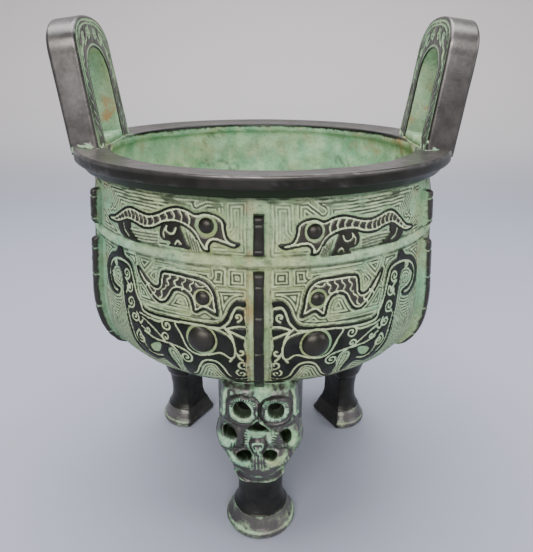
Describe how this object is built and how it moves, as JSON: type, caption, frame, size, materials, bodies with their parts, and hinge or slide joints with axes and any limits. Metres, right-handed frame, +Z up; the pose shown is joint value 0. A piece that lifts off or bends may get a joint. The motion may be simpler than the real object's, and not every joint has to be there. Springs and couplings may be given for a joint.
{
  "type": "bronze ding vessel",
  "caption": "Round bronze ding: a deep bowl with a flat rim, two upright slotted handles, notched flanges, cast relief, and legs topped with beast masks.",
  "frame": {"origin": "on the floor plane that the three feet stand on, at the centre of the object's box, on the bowl's axis in X", "axes": "+Z up through the bowl, X through the two handles, and the front leg with its mask facing -Y"},
  "size_m": [0.125, 0.1198, 0.1599],
  "materials": {
    "patinated_bronze": "dark cast bronze, worn smooth on rim, handles and shanks, with pale green patina in the recesses and inside the bowl"
  },
  "bodies": {
    "root": {"ding_vessel": "patinated_bronze"}
  },
  "joints": []
}
